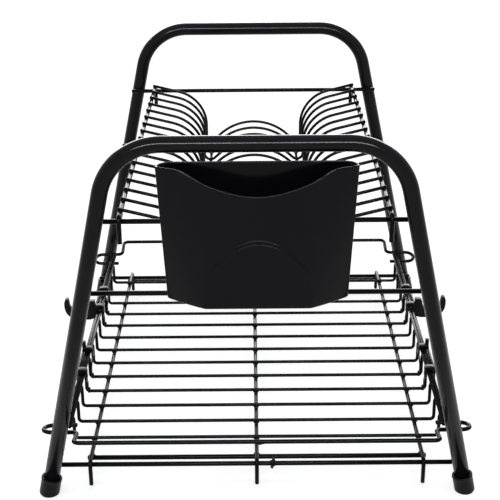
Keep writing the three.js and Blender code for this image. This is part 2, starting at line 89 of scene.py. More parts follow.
class Nodes:
    # the node tree of one material or of the world
    def __init__(self, owner):
        owner.use_nodes = True
        self.tree = owner.node_tree
        self.tree.nodes.clear()

    def add(self, kind, settings=None, inputs=None, output=0):
        node = self.tree.nodes.new(kind)
        for name, value in (settings or {}).items():
            setattr(node, name, value)
        for name, value in (inputs or {}).items():
            socket = node.inputs[name]
            if isinstance(value, Value):
                self.tree.links.new(value.socket, socket)
            else:
                socket.default_value = value
        return Value(self, node.outputs[output]) if len(node.outputs) else node

    def mixed(self, share, first, second):
        return self.add("ShaderNodeMix", {"data_type": "RGBA"}, {0: share, 6: first, 7: second}, 2)

    def noise(self, where, scale, detail=2.0, roughness=0.5):
        inputs = {"Vector": where, "Scale": scale, "Detail": detail, "Roughness": roughness}
        return self.add("ShaderNodeTexNoise", {}, inputs)

    def share(self, value, low, high):
        # 0 below low, 1 above high
        return self.add("ShaderNodeMapRange", {"clamp": True}, {0: value, 1: low, 2: high})


def finish(name, look):
    # a black finish whose tint, gloss and surface change slightly from place to place
    material = bpy.data.materials.new(name)
    nodes = Nodes(material)
    where = nodes.add("ShaderNodeTexCoord", {}, {}, 3)
    cloud = nodes.share(nodes.noise(where, look["cloudScale"], 4), 0.3, 0.7)
    peel = nodes.noise(where, look["peelScale"], 2, 0.4)
    grain = nodes.noise(where, look["grainScale"], 3, 0.6)
    speckFrom = look["speckFrom"]
    specks = nodes.share(nodes.noise(where, look["speckScale"], 1), speckFrom, speckFrom + 0.05)
    upward = nodes.add("ShaderNodeSeparateXYZ", {}, {0: nodes.add("ShaderNodeNewGeometry", {}, {}, 1)}, 2)
    settled = nodes.share(upward, 0.2, 1) * specks * look["dust"]
    tint = nodes.mixed(cloud, (*look["dark"], 1), (*look["light"], 1))
    colour = nodes.mixed(settled, tint, (*look["dustTint"], 1))
    gloss = look["roughness"] + (cloud - 0.5) * look["cloudGloss"] + (grain - 0.5) * look["grainGloss"]
    gloss = gloss + settled * 0.3
    height = peel * look["peel"] + grain * look["grain"]
    bump = nodes.add("ShaderNodeBump", {}, {"Strength": look["bump"], "Distance": 0.0002, "Height": height})
    shader = nodes.add("ShaderNodeBsdfPrincipled", {}, {
        "Base Color": colour, "Roughness": gloss, "Normal": bump,
        "Specular IOR Level": look["specular"], "IOR": 1.5,
    })
    nodes.add("ShaderNodeOutputMaterial", {}, {"Surface": shader})
    return material


tubeLook = dict(
    dark=(0.0055, 0.0055, 0.0064), light=(0.0095, 0.0095, 0.011), cloudScale=22, cloudGloss=0.04,
    roughness=0.14, peelScale=480, peel=0.8, grainScale=2600, grain=0.15, grainGloss=0.03, bump=0.22,
    speckScale=1500, speckFrom=0.72, dust=0.04, dustTint=(0.2, 0.2, 0.2), specular=0.085)
wireLook = dict(
    dark=(0.0036, 0.0036, 0.004), light=(0.007, 0.0068, 0.0067), cloudScale=30, cloudGloss=0.06,
    roughness=0.18, peelScale=700, peel=0.9, grainScale=3200, grain=0.25, grainGloss=0.06, bump=0.25,
    speckScale=1900, speckFrom=0.72, dust=0.03, dustTint=(0.2, 0.2, 0.2), specular=0.0475)
caddyLook = dict(
    dark=(0.0042, 0.0042, 0.0054), light=(0.006, 0.006, 0.0074), cloudScale=16, cloudGloss=0.04,
    roughness=0.16, peelScale=120, peel=0.5, grainScale=2400, grain=0.1, grainGloss=0.03, bump=0.1,
    speckScale=1300, speckFrom=0.74, dust=0.04, dustTint=(0.16, 0.16, 0.17), specular=0.075)
footLook = dict(
    dark=(0.005, 0.005, 0.0055), light=(0.009, 0.009, 0.0095), cloudScale=60, cloudGloss=0.1,
    roughness=0.36, peelScale=900, peel=0.4, grainScale=2800, grain=0.6, grainGloss=0.12, bump=0.35,
    speckScale=1500, speckFrom=0.68, dust=0.08, dustTint=(0.2, 0.19, 0.18), specular=0.0875)
hangerLook = dict(
    dark=(0.004, 0.004, 0.0045), light=(0.007, 0.007, 0.0075), cloudScale=50, cloudGloss=0.08,
    roughness=0.3, peelScale=500, peel=0.4, grainScale=2400, grain=0.4, grainGloss=0.1, bump=0.25,
    speckScale=1500, speckFrom=0.72, dust=0.05, dustTint=(0.2, 0.2, 0.2), specular=0.075)

tubeCoat = finish("tubeCoat", tubeLook)
wireCoat = finish("wireCoat", wireLook)
caddyPlastic = finish("caddyPlastic", caddyLook)
footPlastic = finish("footPlastic", footLook)
hangerPlastic = finish("hangerPlastic", hangerLook)
print("finishes made")


def unit(way):
    way = np.asarray(way, float)
    return way / np.linalg.norm(way)


def cadCentre(node):
    low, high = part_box(node)
    return np.array((low + high) / 2) / mm


def cadLow(node):
    return np.array(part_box(node)[0]) / mm


def cadHigh(node):
    return np.array(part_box(node)[1]) / mm


def route(corners, step=6.0):
    # corners are (x, y, z) or (x, y, z, bend), and each bend becomes an arc
    points = []
    for i, corner in enumerate(corners):
        at = np.array(corner[:3], float)
        bend = corner[3] if len(corner) > 3 else 0
        if not bend or i in (0, len(corners) - 1):
            points.append(at)
            continue
        before = unit(np.array(corners[i - 1][:3]) - at)
        after = unit(np.array(corners[i + 1][:3]) - at)
        angle = math.pi - math.acos(np.clip(before @ after, -1, 1))
        centre = at + unit(before + after) * bend / math.cos(angle / 2)
        start = at + before * bend * math.tan(angle / 2) - centre
        axis = Vector(unit(np.cross(after, before)))
        steps = max(2, round(math.degrees(angle) / step))
        for k in range(steps + 1):
            spun = Matrix.Rotation(angle * k / steps, 3, axis) @ Vector(start)
            points.append(np.array(spun) + centre)
    return np.array(points)


coatDepth = 0.25  # added to the drawn radius of the wires that touch no other body
seatGap = 0.3  # between pieces that rest on each other
knotCore = 0.97  # share of a wire's radius that its weld starts from


class Shape:
    # gathers the points and faces of one piece
    def __init__(self):
        self.points, self.faces, self.count = [], [], 0

    def add(self, points, faces, move=(0, 0, 0), mirror=False):
        points = np.asarray(points, float) * ((-1, 1, 1) if mirror else (1, 1, 1)) + np.asarray(move)
        self.points.append(points)
        order = -1 if mirror else 1
        self.faces += [tuple(i + self.count for i in face[::order]) for face in faces]
        self.count += len(points)

    def wire(self, points, radius, sides=12, endRound=0.35, coat=0.0):
        # a round wire along the points, with its cut ends slightly domed
        radius = radius + coat
        points = np.array(points, float)
        dome = endRound * radius
        points[0] += unit(points[1] - points[0]) * dome
        points[-1] += unit(points[-2] - points[-1]) * dome
        ways = np.diff(points, axis=0)
        ways /= np.linalg.norm(ways, axis=1)[:, None]
        along = np.vstack([ways[:1], ways[1:] + ways[:-1], ways[-1:]])
        along /= np.linalg.norm(along, axis=1)[:, None]
        across = unit(np.cross(along[0], (0.31, 0.52, 0.79)))
        turns = np.arange(sides) * 2 * math.pi / sides
        rings = []

        def domed(point, way, ring, degrees):
            a = math.radians(degrees)
            rings.append(point + way * dome * math.sin(a) + ring * radius * math.cos(a))

        for i, (point, way) in enumerate(zip(points, along)):
            across = unit(across - way * (across @ way))
            other = np.cross(way, across)
            ring = np.outer(np.cos(turns), across) + np.outer(np.sin(turns), other)
            if i == 0:
                for degrees in (60, 30):
                    domed(point, -way, ring, degrees)
            rings.append(point + ring * radius)
            if i == len(points) - 1:
                for degrees in (30, 60):
                    domed(point, way, ring, degrees)
        count = len(rings)
        vertices = np.vstack(rings + [points[0] - along[0] * dome, points[-1] + along[-1] * dome])
        around = [(j, (j + 1) % sides) for j in range(sides)]
        faces = [(r * sides + a, r * sides + b, (r + 1) * sides + b, (r + 1) * sides + a)
                 for r in range(count - 1) for a, b in around]
        faces += [(b, a, count * sides) for a, b in around]
        last = (count - 1) * sides
        faces += [(last + a, last + b, count * sides + 1) for a, b in around]
        self.add(vertices, faces)

    def piece(self, name, body, nodes, slot, material, sharp=None):
        mesh = bpy.data.meshes.new(name)
        mesh.from_pydata((np.vstack(self.points) * mm).tolist(), [], self.faces)
        placed(mesh, name, body, nodes, material, sharp)


def placed(mesh, name, body, nodes, material, sharp=None):
    # the mesh becomes a piece that rides on its body and stands for its solids
    mesh.materials.clear()
    mesh.materials.append(material)
    mesh.polygons.foreach_set("use_smooth", [True] * len(mesh.polygons))
    if sharp:
        mesh.set_sharp_from_angle(angle=math.radians(sharp))
    mesh.update()
    piece = bpy.data.objects.new(name, mesh)
    scene.collection.objects.link(piece)
    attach(piece, body)
    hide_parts(*nodes)


def shaped(solid, modifiers):
    # the points and faces of a bmesh after modifiers, each a kind and its settings
    mesh = bpy.data.meshes.new("draft")
    solid.to_mesh(mesh)
    solid.free()
    draft = bpy.data.objects.new("draft", mesh)
    scene.collection.objects.link(draft)
    for kind, settings in modifiers:
        modifier = draft.modifiers.new(kind, kind)
        for name, value in settings.items():
            setattr(modifier, name, value)
    made = draft.evaluated_get(bpy.context.evaluated_depsgraph_get()).to_mesh()
    points = np.array([v.co for v in made.vertices])
    faces = [tuple(p.vertices) for p in made.polygons]
    bpy.data.objects.remove(draft)
    bpy.data.meshes.remove(mesh)
    return points, faces


def weldKnot(first, second, pad, voxel=0.34):
    # the melted joint of two crossing wires: each is (centre, way, radius, half length)
    solid = bmesh.new()
    for centre, way, radius, half in (first, second):
        stand = Vector(way).to_track_quat("Z", "Y").to_matrix().to_4x4()
        place = Matrix.Translation(Vector(centre)) @ stand
        core = radius * knotCore
        bmesh.ops.create_cone(solid, cap_ends=True, segments=20, radius1=core, radius2=core, depth=2 * half,
                              matrix=place)
    size = Matrix.Diagonal((*pad, 1))
    bmesh.ops.create_uvsphere(solid, u_segments=20, v_segments=12, radius=1, matrix=size)
    return shaped(solid, [
        ("REMESH", dict(mode="VOXEL", voxel_size=voxel)),
        ("SMOOTH", dict(factor=0.5, iterations=7)),
    ])


frameSizes = dict(
    tubeRadius=6.35, halfFloorSpread=171.8, legLean=12.07, bend=48, barRadius=2.0,
    barWeldPad=(3.4, 2.2, 2.6), dripX=13.2)

lean = math.radians(frameSizes["legLean"])


def legX(z):
    return frameSizes["halfFloorSpread"] - z * math.tan(lean)


def frameTube(end):
    node = f"frame_tube_{end}"
    low, high = cadLow(node), cadHigh(node)
    radius, bend = frameSizes["tubeRadius"], frameSizes["bend"]
    y = (low[1] + high[1]) / 2
    topZ = high[2] - radius
    footZ = low[2] + radius * math.sin(lean)
    shape = Shape()
    shape.wire(route([
        (-legX(footZ), y, footZ), (-legX(topZ), y, topZ, bend),
        (legX(topZ), y, topZ, bend), (legX(footZ), y, footZ),
    ], 3), radius, 40, 0.1)
    shape.piece(f"frameTube{end.capitalize()}", "end_frames", [node], "tube_coating", tubeCoat)


legWay = np.array([-math.sin(lean), 0, math.cos(lean)])  # up the right-hand leg
barRadius, tubeRadius = frameSizes["barRadius"], frameSizes["tubeRadius"]
farBarY = cadCentre("upper_bar_far")[1]
farTubeY = cadCentre("frame_tube_far")[1]
contactY = (farBarY + barRadius + farTubeY - tubeRadius) / 2
barWeld = weldKnot(
    ((0, farBarY - contactY, 0), (1, 0, 0), barRadius, 6.5),
    ((0, farTubeY - contactY, 0), legWay, tubeRadius, 6.0),
    frameSizes["barWeldPad"], 0.5)
drip = weldKnot(
    ((0, 0, 0), (1, 0, 0), barRadius, 3.4),
    ((0, 0, 0), (0.17, 0, 1), 1.35, 4.8),
    (3.4, 2.4, 3.1), 0.4)


def frameBar(level, end):
    node = f"{level}_bar_{end}"
    centre = cadCentre(node)
    reach = cadHigh(node)[0]
    shape = Shape()
    shape.wire([(-reach, *centre[1:]), (reach, *centre[1:])], barRadius, 18, 0.25)
    knot = barWeld[0] * (1, 1 if end == "far" else -1, 1)
    faces = barWeld[1] if end == "far" else [face[::-1] for face in barWeld[1]]
    place = np.array([legX(centre[2]), contactY if end == "far" else -contactY, centre[2]])
    shape.add(knot, faces, place)
    shape.add(knot, faces, place * (-1, 1, 1), mirror=True)
    if (level, end) == ("bottom", "near"):
        shape.add(*drip, (frameSizes["dripX"], *centre[1:]))
    shape.piece(f"{level}Bar{end.capitalize()}", "end_frames", [node], "wire_coating", wireCoat)


footSizes = dict(
    wall=1.6, clearance=0.3, floor=3.0, depth=14, rimHeight=1.8, rimFlare=0.3, edgeRadius=2.6, rimRound=0.5,
    segments=64)


def footCap(end, side):
    # a cup turned about the leg's axis and cut level with the floor
    node = f"foot_cap_{end}_{side}"
    sign = -1 if side == "left" else 1
    sizes = footSizes
    bore = tubeRadius + sizes["clearance"]
    outside = bore + sizes["wall"]
    flare = outside + sizes["rimFlare"]
    sole = -outside * math.sin(lean)
    top = sole + sizes["floor"] + sizes["depth"]
    well = sizes["floor"] / math.cos(lean)
    edge, soft = sizes["edgeRadius"], sizes["rimRound"]
    profile = [(0, sole)]
    profile += [(outside - edge + edge * math.sin(a), sole + edge - edge * math.cos(a))
                for a in np.radians(np.linspace(0, 90, 7))]
    profile += [(outside, top - sizes["rimHeight"] - 0.5), (outside + 0.15, top - sizes["rimHeight"]),
                (flare, top - sizes["rimHeight"] + sizes["rimFlare"])]
    profile += [(flare - soft + soft * math.cos(a), top - soft + soft * math.sin(a))
                for a in np.radians(np.linspace(0, 90, 5))]
    profile += [(bore + 0.3, top), (bore, top - 0.3), (bore, well), (0, well)]
    solid = bmesh.new()
    ring = [solid.verts.new((r, 0, z)) for r, z in profile]
    edges = [solid.edges.new(pair) for pair in zip(ring, ring[1:])]
    bmesh.ops.spin(solid, geom=ring + edges, axis=(0, 0, 1), cent=(0, 0, 0), angle=2 * math.pi,
                   steps=sizes["segments"], use_merge=True, use_duplicate=False)
    bmesh.ops.remove_doubles(solid, verts=solid.verts, dist=1e-4)
    foot = Matrix.Translation((sign * legX(0), cadCentre(node)[1], 0))
    place = foot @ Matrix.Rotation(-sign * lean, 4, "Y")
    bmesh.ops.transform(solid, matrix=place, verts=solid.verts)
    cut = bmesh.ops.bisect_plane(solid, geom=solid.verts[:] + solid.edges[:] + solid.faces[:],
                                 plane_co=(0, 0, 0), plane_no=(0, 0, -1), clear_outer=True)
    rim = [e for e in cut["geom_cut"] if isinstance(e, bmesh.types.BMEdge)]
    bmesh.ops.holes_fill(solid, edges=rim, sides=0)
    bmesh.ops.recalc_face_normals(solid, faces=solid.faces)
    bmesh.ops.scale(solid, vec=(mm, mm, mm), verts=solid.verts)
    mesh = bpy.data.meshes.new(node)
    solid.to_mesh(mesh)
    solid.free()
    placed(mesh, f"footCap{end.capitalize()}{side.capitalize()}", "end_frames", [node],
           footPlastic, 40)


for end in ("near", "far"):
    frameTube(end)
    for level in ("upper", "middle", "bottom"):
        frameBar(level, end)
    for side in ("left", "right"):
        footCap(end, side)
print("end frames made")


rackSizes = dict(
    wireRadius=1.15, railRadius=1.9, valleyWireRadius=1.25, rimSlope=14, bowlBend=37, valleyHalfWidth=49.5,
    valleyBend=6, humpDrop=39.5, humpBend=52, humpFlank=42, hookBend=3.4,
    railWeldPad=(1.7, 1.9, 1.2), valleyWeldPad=(1.8, 1.7, 1.1))

plateWireNodes = sorted(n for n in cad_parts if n.startswith("plate_wire_"))
tipX = cadHigh("rack_side_rail_right")[0]
railX = cadCentre("rack_side_rail_right")[0]
railZ = cadHigh("rack_side_rail_right")[2] - rackSizes["railRadius"]
plateWireZ = railZ + rackSizes["railRadius"] + rackSizes["wireRadius"] + seatGap
rimSlope = math.radians(rackSizes["rimSlope"])
flank = math.radians(rackSizes["humpFlank"])
wallX = rackSizes["valleyHalfWidth"]
humpPeakZ = plateWireZ - rackSizes["humpDrop"] + rackSizes["humpBend"] * (1 / math.cos(flank) - 1)
bowlCornerZ = plateWireZ - (tipX - wallX) * math.tan(rimSlope)
valleyCornerZ = humpPeakZ - wallX * math.tan(flank)
valleyX = cadCentre("rack_valley_wire_right")[0]
valleyWireZ = cadCentre("rack_valley_wire_right")[2]
rimWay = unit((1, 0, math.tan(rimSlope)))
railMiddleZ = plateWireZ - (tipX - railX) * math.tan(rimSlope)  # plate wire above the rail's centre line

railContact = (railMiddleZ - rackSizes["wireRadius"] + railZ + rackSizes["railRadius"]) / 2
railWeld = weldKnot(
    ((0, 0, railMiddleZ - railContact), rimWay, rackSizes["wireRadius"], 1.8),
    ((0, 0, railZ - railContact), (0, 1, 0), rackSizes["railRadius"], 2.8),
    rackSizes["railWeldPad"])
valleyLowZ = valleyWireZ + rackSizes["valleyWireRadius"] + rackSizes["wireRadius"] + seatGap
valleyContact = (valleyLowZ - rackSizes["wireRadius"] + valleyWireZ + rackSizes["valleyWireRadius"]) / 2
valleyWeld = weldKnot(
    ((0, 0, valleyLowZ - valleyContact), (1, 0, 0), rackSizes["wireRadius"], 1.6),
    ((0, 0, valleyWireZ - valleyContact), (0, 1, 0), rackSizes["valleyWireRadius"], 3.0),
    rackSizes["valleyWeldPad"], 0.3)

for number, node in enumerate(plateWireNodes, 1):
    y = cadCentre(node)[1]
    bowl, valley = rackSizes["bowlBend"], rackSizes["valleyBend"]
    shape = Shape()
    shape.wire(route([
        (-tipX, y, plateWireZ), (-wallX, y, bowlCornerZ, bowl), (-wallX, y, valleyCornerZ, valley),
        (0, y, humpPeakZ, rackSizes["humpBend"]),
        (wallX, y, valleyCornerZ, valley), (wallX, y, bowlCornerZ, bowl), (tipX, y, plateWireZ),
    ], 5), rackSizes["wireRadius"], 12, coat=coatDepth)
    shape.add(*railWeld, (railX, y, railContact))
    shape.add(*railWeld, (-railX, y, railContact), mirror=True)
    shape.add(*valleyWeld, (valleyX, y, valleyContact))
    shape.add(*valleyWeld, (-valleyX, y, valleyContact), mirror=True)
    shape.piece(f"plateWire{number:02d}", "plate_rack", [node], "wire_coating", wireCoat)


def hookedRail(node, name, body, radius, bend):
    # a lengthwise wire with both ends bent straight down
    low, high = cadLow(node), cadHigh(node)
    x, z, reach = (low[0] + high[0]) / 2, high[2] - radius, high[1] - radius
    shape = Shape()
    shape.wire(route([
        (x, -reach, low[2]), (x, -reach, z, bend), (x, reach, z, bend), (x, reach, low[2]),
    ], 7), radius, 16)
    shape.piece(name, body, [node], "wire_coating", wireCoat)


for side in ("left", "right"):
    hookedRail(f"rack_side_rail_{side}", f"rackSideRail{side.capitalize()}", "plate_rack",
               rackSizes["railRadius"], rackSizes["hookBend"])
    node = f"rack_valley_wire_{side}"
    centre, reach = cadCentre(node), cadHigh(node)[1]
    shape = Shape()
    shape.wire([(centre[0], -reach, centre[2]), (centre[0], reach, centre[2])],
               rackSizes["valleyWireRadius"], 12, coat=coatDepth)
    shape.piece(f"rackValleyWire{side.capitalize()}", "plate_rack", [node], "wire_coating", wireCoat)
print("plate rack made")


traySizes = dict(
    crossRadius=1.25, runnerRadius=1.75, rimRadius=1.8, rimInnerRadius=1.25, underBarRadius=1.8,
    endWireRadius=1.8, bend=3.2, curl=3, curlAngle=40, tipOut=1.3, rimOffset=3, hookBend=3.2,
    rimInnerSetback=4, earBend=8, crankBend=5, earTuck=4.8, legClearance=13, earReach=15, earSlope=11.5,
    runnerWeldPad=(2.7, 2.9, 1.6), rimWeldPad=(1.7, 1.9, 1.7), underBarWeldPad=(2.9, 2.9, 1.9))

crossNodes = sorted(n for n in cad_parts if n.startswith("tray_wire_"))
crossRadius = traySizes["crossRadius"]
crossZ = cadLow(crossNodes[0])[2] + crossRadius
runnerX = cadCentre("tray_runner_right")[0]
runnerZ = cadHigh("tray_runner_middle")[2] - traySizes["runnerRadius"]
rimBox = cadLow("tray_rim_right"), cadHigh("tray_rim_right")
rimX = rimBox[1][0] - traySizes["rimRadius"]
rimZ = (rimBox[0][2] + rimBox[1][2]) / 2
rimInnerX = rimX - traySizes["rimRadius"] - traySizes["rimInnerRadius"] + 0.15
rimInnerZ = rimZ + (traySizes["rimRadius"] - traySizes["rimInnerRadius"]) / 2
curlAngle = math.radians(traySizes["curlAngle"])
uprightX = rimX - traySizes["rimOffset"]
curlTipX = uprightX + traySizes["tipOut"]
curlTipZ = rimInnerZ - (2 * traySizes["rimInnerRadius"] + 2 * crossRadius * math.sin(curlAngle)) / 2 - 0.3
curlZ = curlTipZ - traySizes["tipOut"] / math.tan(curlAngle)

runnerContact = (crossZ - crossRadius + runnerZ + traySizes["runnerRadius"]) / 2
runnerWeld = weldKnot(
    ((0, 0, crossZ - runnerContact), (1, 0, 0), crossRadius, 3.8),
    ((0, 0, runnerZ - runnerContact), (0, 1, 0), traySizes["runnerRadius"], 3.6),
    traySizes["runnerWeldPad"])
tipPlace = np.array([curlTipX, 0, curlTipZ])
curlWay = unit((math.sin(curlAngle), 0, math.cos(curlAngle)))
rimContact = (tipPlace + np.array([rimInnerX, 0, rimInnerZ])) / 2
rimWeld = weldKnot(
    (tipPlace - rimContact - curlWay * 1.2, curlWay, crossRadius, 1.6),
    (np.array([rimInnerX, 0, rimInnerZ]) - rimContact, (0, 1, 0), traySizes["rimInnerRadius"], 3.2),
    traySizes["rimWeldPad"], 0.3)

for number, node in enumerate(crossNodes, 1):
    y = cadCentre(node)[1]
    bend, curl = traySizes["bend"], traySizes["curl"]
    half = [(curlTipX, y, curlTipZ), (uprightX, y, curlZ, curl), (uprightX, y, crossZ, bend)]
    shape = Shape()
    shape.wire(route([(-c[0], *c[1:]) for c in half] + half[::-1], 7), crossRadius, 12, coat=coatDepth)
    for x in (-runnerX, 0, runnerX):
        shape.add(*runnerWeld, (x, y, runnerContact))
    shape.add(*rimWeld, rimContact + (0, y, 0))
    shape.add(*rimWeld, rimContact * (-1, 1, 1) + (0, y, 0), mirror=True)
    shape.piece(f"trayWire{number:02d}", "tray", [node], "wire_coating", wireCoat)

for side in ("left", "middle", "right"):
    hookedRail(f"tray_runner_{side}", f"trayRunner{side.capitalize()}", "tray", traySizes["runnerRadius"],
               traySizes["hookBend"])

for side, sign in (("left", -1), ("right", 1)):
    node = f"tray_rim_{side}"
    reach = cadHigh(node)[1]
    thin = reach - traySizes["rimInnerSetback"]
    shape = Shape()
    shape.wire([(sign * rimX, -reach, rimZ), (sign * rimX, reach, rimZ)], traySizes["rimRadius"], 16)
    shape.wire([(sign * rimInnerX, -thin, rimInnerZ), (sign * rimInnerX, thin, rimInnerZ)],
               traySizes["rimInnerRadius"], 12)
    shape.piece(f"trayRim{side.capitalize()}", "tray", [node], "wire_coating", wireCoat)

underBarZ = cadCentre("tray_under_bar_near")[2]
underContact = (runnerZ - traySizes["runnerRadius"] + underBarZ + traySizes["underBarRadius"]) / 2
underWeld = weldKnot(
    ((0, 0, runnerZ - underContact), (0, 1, 0), traySizes["runnerRadius"], 3.8),
    ((0, 0, underBarZ - underContact), (1, 0, 0), traySizes["underBarRadius"], 3.8),
    traySizes["underBarWeldPad"])

for end, sign in (("near", -1), ("far", 1)):
    node = f"tray_under_bar_{end}"
    centre, reach = cadCentre(node), cadHigh(node)[0]
    shape = Shape()
    shape.wire([(-reach, *centre[1:]), (reach, *centre[1:])], traySizes["underBarRadius"], 16,
               coat=coatDepth)
    for x in (-runnerX, 0, runnerX):
        shape.add(*underWeld, (x, centre[1], underContact))
    shape.piece(f"trayUnderBar{end.capitalize()}", "tray", [node], "wire_coating", wireCoat)

earSizes = dict(outerInset=11, strandPitch=17, weldPad=(2.2, 2.4, 1.6))
earSlope = math.tan(math.radians(traySizes["earSlope"]))
outerY = farTubeY - earSizes["outerInset"]
innerY = outerY - earSizes["strandPitch"]
endY = cadHigh("tray_end_wire_far")[1] - traySizes["endWireRadius"]
innerZ = rimZ - traySizes["rimRadius"] - traySizes["endWireRadius"] - seatGap


def earZ(y):
    return innerZ + (y - innerY) * earSlope


rimEarWeld = weldKnot(
    ((0, 0, traySizes["rimRadius"] + 0.15), (0, 1, 0), traySizes["rimRadius"], 3.6),
    ((0, 0, -traySizes["endWireRadius"] - 0.15), (1, 0, 0), traySizes["endWireRadius"], 3.6),
    earSizes["weldPad"])
buttWeld = weldKnot(
    ((0, 0, 0), (1, 0, 0), traySizes["endWireRadius"], 3.5),
    ((0, 0, -0.6), (0.2, 0, -1), 1.1, 1.6),
    (2.2, 1.45, 2.7))

for end, sign in (("near", -1), ("far", 1)):
    node = f"tray_end_wire_{end}"
    crankX = legX(earZ(endY)) - traySizes["legClearance"]
    tipReach = legX(rimZ) + traySizes["earReach"]
    tuckX = uprightX - traySizes["earTuck"]
    half = [
        (tuckX, sign * innerY, earZ(innerY)),
        (tipReach, sign * innerY, earZ(innerY), traySizes["earBend"]),
        (tipReach, sign * outerY, earZ(outerY), traySizes["earBend"]),
        (crankX, sign * outerY, earZ(outerY), traySizes["crankBend"]),
        (crankX, sign * endY, earZ(endY), traySizes["crankBend"]),
    ]
    shape = Shape()
    shape.wire(route([(-c[0], *c[1:]) for c in half] + half[::-1], 7), traySizes["endWireRadius"], 16)
    for x in (-rimX, rimX):
        shape.add(*rimEarWeld, (x, sign * innerY, rimZ - traySizes["rimRadius"] - 0.15))
    shape.add(*buttWeld, (2.4, sign * endY, earZ(endY) - 0.5))
    shape.piece(f"trayEndWire{end.capitalize()}", "tray", [node], "wire_coating", wireCoat)
print("tray made")


caddySizes = dict(
    halfRim=75.0, backInset=15, footBackInset=11, footInset=5.5, rimSideDepth=13, footSideDepth=5,
    frontInset=35, depth=25.65, height=110, wall=1.8, floor=2.2, dip=19.5, dipInset=17.5,
    samples=72, cornerRound=5, footRound=2.4, hookInset=43, hookWidth=16, hookThickness=1.8, hookDrop=5.5,
    arcX=0.6, arcs=((231.0, 39.0, 28.0), (227.6, 38.5, 25.1)), arcRadius=0.7, arcRise=0.35)

caddyLow, caddyHigh = cadLow("cutlery_caddy"), cadHigh("cutlery_caddy")
caddyRimZ = caddyHigh[2]
caddyFootZ = caddyLow[2]
caddyFrontY = caddyLow[1] + caddySizes["arcRise"]
caddyBackY = caddyFrontY + caddySizes["depth"]
caddyX = (caddyLow[0] + caddyHigh[0]) / 2


def bow(start, control, end, count):
    # a quadratic curve, without its last point
    t = np.linspace(0, 1, count, endpoint=False)[:, None]
    start, control, end = np.array(start), np.array(control), np.array(end)
    return (1 - t) ** 2 * start + 2 * t * (1 - t) * control + t ** 2 * end


def caddyOutline(share):
    # the outside in plan, from foot (0) to rim (1): flat back, short sides, slanted corners, flat front
    sizes, count = caddySizes, caddySizes["samples"]
    back = sizes["halfRim"] - np.interp(share, (0, 1), (sizes["footBackInset"], sizes["backInset"]))
    side = sizes["halfRim"] - np.interp(share, (0, 1), (sizes["footInset"], 0))
    deep = np.interp(share, (0, 1), (sizes["footSideDepth"], sizes["rimSideDepth"]))
    flat, front = sizes["halfRim"] - sizes["frontInset"], -sizes["depth"]
    slantX, slantY = (side + flat) / 2, (front - deep) / 2 - 2
    points = np.vstack([
        bow((-back, 0), (-side, 0), (-side, -deep), count),
        bow((-side, -deep), (-slantX, slantY), (-flat, front), count),
        bow((-flat, front), (0, front), (flat, front), 2 * count),
        bow((flat, front), (slantX, slantY), (side, -deep), count),
        bow((side, -deep), (side, 0), (back, 0), count),
        bow((back, 0), (0, 0), (-back, 0), 2 * count),
    ])
    window = np.hanning(2 * sizes["cornerRound"] + 3)[1:-1]
    window /= window.sum()
    half = len(window) // 2
    padded = np.vstack([points[-half:], points, points[:half]])
    return np.column_stack([np.convolve(padded[:, k], window, "valid") for k in (0, 1)])


def inward(outline):
    ways = np.roll(outline, -1, 0) - np.roll(outline, 1, 0)
    ways /= np.linalg.norm(ways, axis=1)[:, None]
    return np.column_stack([-ways[:, 1], ways[:, 0]])


def rimHeights(outline):
    # the front rim dips between its shoulders, smoothly
    edge = caddySizes["halfRim"] - caddySizes["dipInset"]
    t = np.linspace(0, 1, 60)
    x = -edge * (1 - t) ** 2 - 0.8 * edge * t * (1 - t)
    z = -caddySizes["dip"] * (1 - (1 - t) ** 2)
    grid = np.linspace(-100, 100, 801)
    drop = np.interp(-abs(grid), x, z, left=0)
    window = np.hanning(61)
    drop = np.convolve(np.pad(drop, 30, mode="edge"), window / window.sum(), "valid")
    onFront = np.clip((-outline[:, 1] - 6) / 6, 0, 1)
    return caddyRimZ + np.interp(outline[:, 0], grid, drop) * onFront


def caddyRings():
    # from the middle of the underside, up the outside, over the rim and down the inside to the floor
    sizes = caddySizes
    wall, soft = sizes["wall"], sizes["footRound"]
    low, high = caddyOutline(0), caddyOutline(1)
    rim = rimHeights(high)
    half = wall / 2
    rows = []

    def ring(z, inset):
        z = np.broadcast_to(np.asarray(z, float), rim.shape)
        outline = low + (high - low) * ((z - caddyFootZ) / sizes["height"])[:, None]
        outline = outline + inward(outline) * inset
        rows.append(np.column_stack([outline[:, 0] + caddyX, outline[:, 1] + caddyBackY, z]))

    ring(caddyFootZ, soft + 0.8)
    for angle in np.radians(np.linspace(0, 90, 6)):
        ring(caddyFootZ + soft * (1 - math.cos(angle)), soft * (1 - math.sin(angle)))
    base, under = caddyFootZ + soft, rim - half
    for share in np.linspace(0, 1, 40)[1:]:
        ring(base + (under - base) * share, 0)
    for angle in np.radians(np.linspace(0, 180, 9))[1:]:
        ring(under + half * math.sin(angle), half * (1 - math.cos(angle)))
    floor = caddyFootZ + sizes["floor"]
    for share in np.linspace(0, 1, 24)[1:]:
        ring(under + (floor + soft - under) * share, wall)
    for angle in np.radians(np.linspace(0, 90, 5))[1:]:
        ring(floor + soft * (1 - math.sin(angle)), wall + soft * (1 - math.cos(angle)))
    return rows


shape = Shape()
rings = caddyRings()
count = len(rings[0])
faces = [(r * count + j, r * count + (j + 1) % count, (r + 1) * count + (j + 1) % count, (r + 1) * count + j)
         for r in range(len(rings) - 1) for j in range(count)]
faces.append(tuple(range(count))[::-1])
faces.append(tuple((len(rings) - 1) * count + j for j in range(count)))
shape.add(np.vstack(rings), faces)

